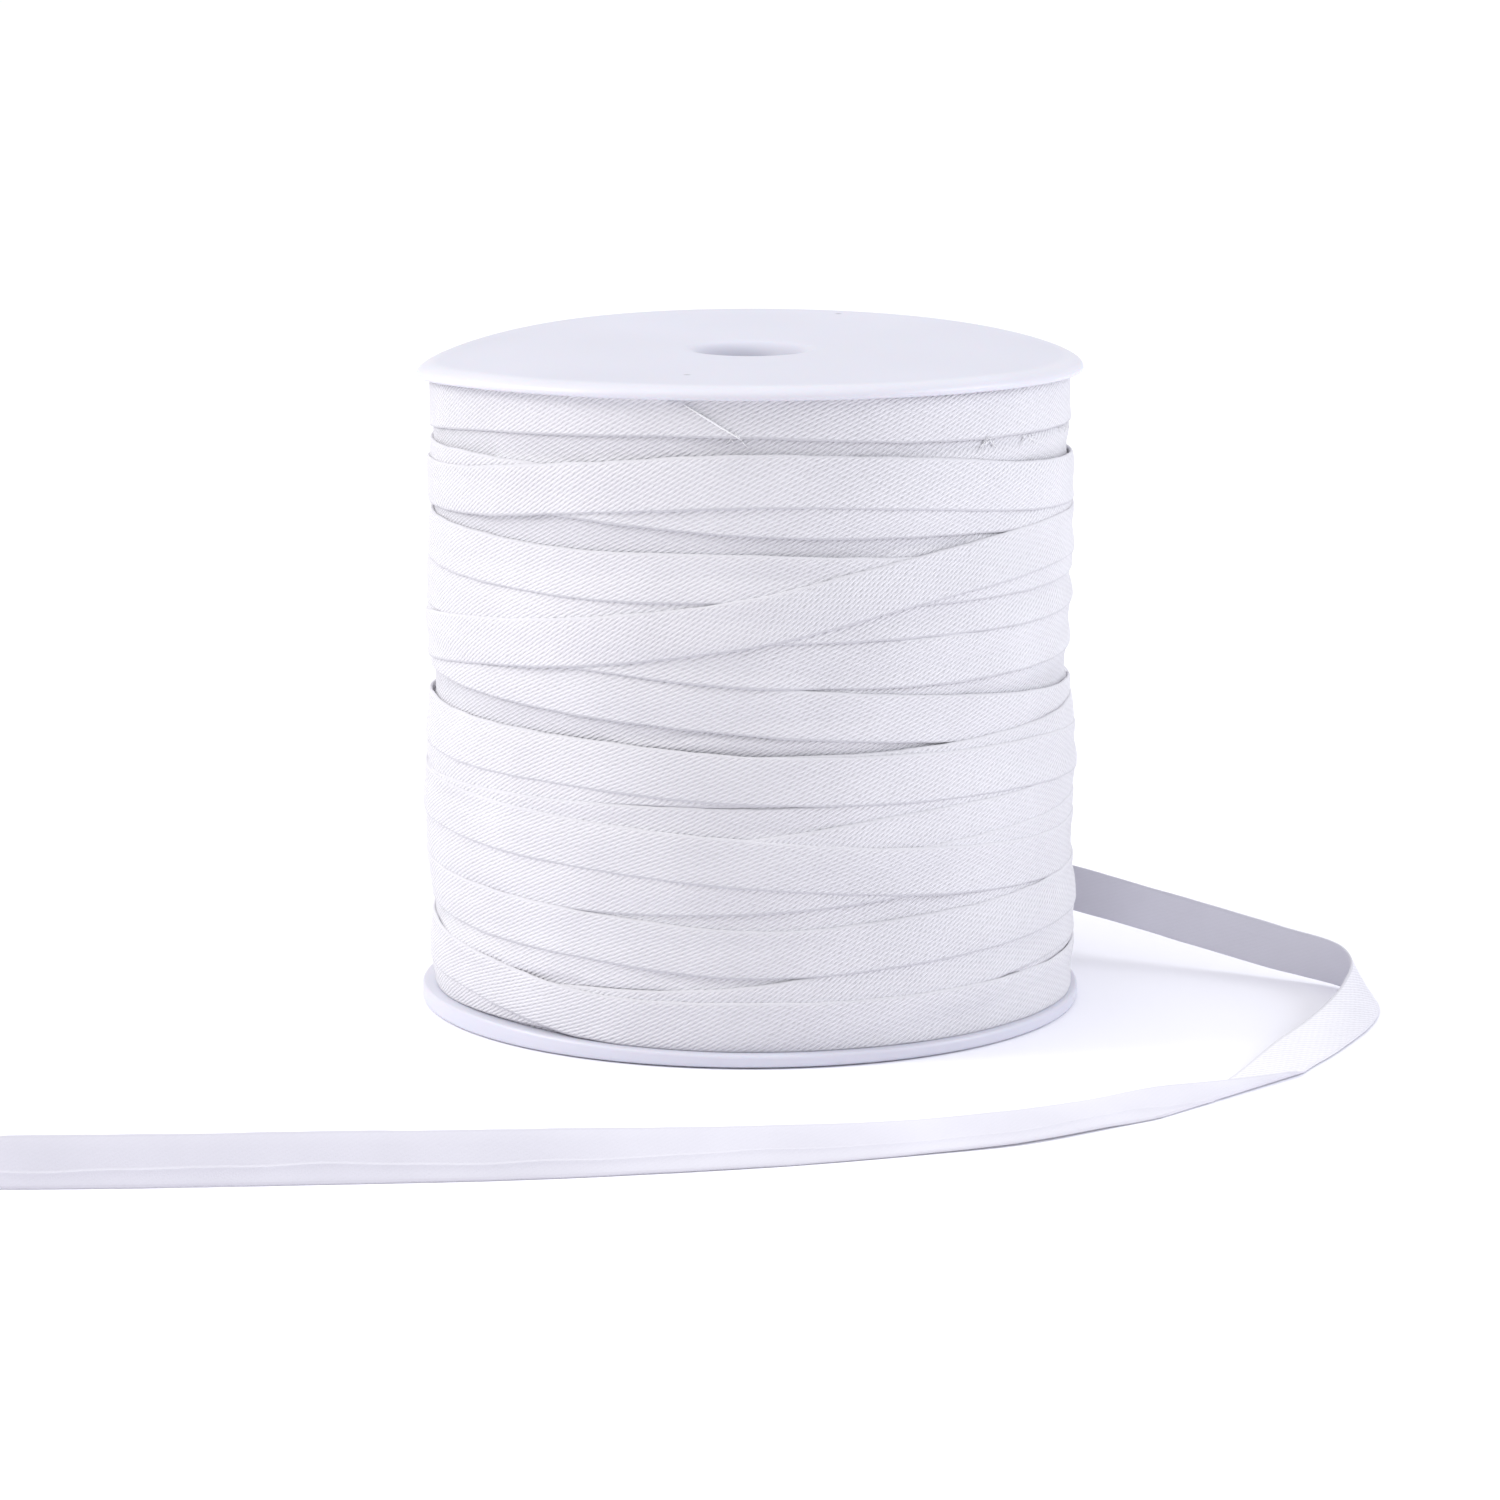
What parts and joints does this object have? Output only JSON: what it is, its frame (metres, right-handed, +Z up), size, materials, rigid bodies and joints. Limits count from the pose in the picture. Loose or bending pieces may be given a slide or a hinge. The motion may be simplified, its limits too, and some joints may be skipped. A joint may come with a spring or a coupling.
{
  "type": "roll of bias tape",
  "caption": "Folded white bias tape wound on a flanged plastic spool, with its loose end lying on the surface.",
  "frame": {"origin": "centre of the spool's base, on its axis", "axes": "+Z up along the spool's axis, -Y towards the front, +X to the right"},
  "size_m": [0.1837, 0.1466, 0.087],
  "materials": {
    "spool": "smooth white moulded plastic",
    "tape": "white twill-woven cotton, folded and pressed"
  },
  "bodies": {
    "root": {"spool": "spool", "winding": "tape", "loose_end": "tape"}
  },
  "joints": []
}
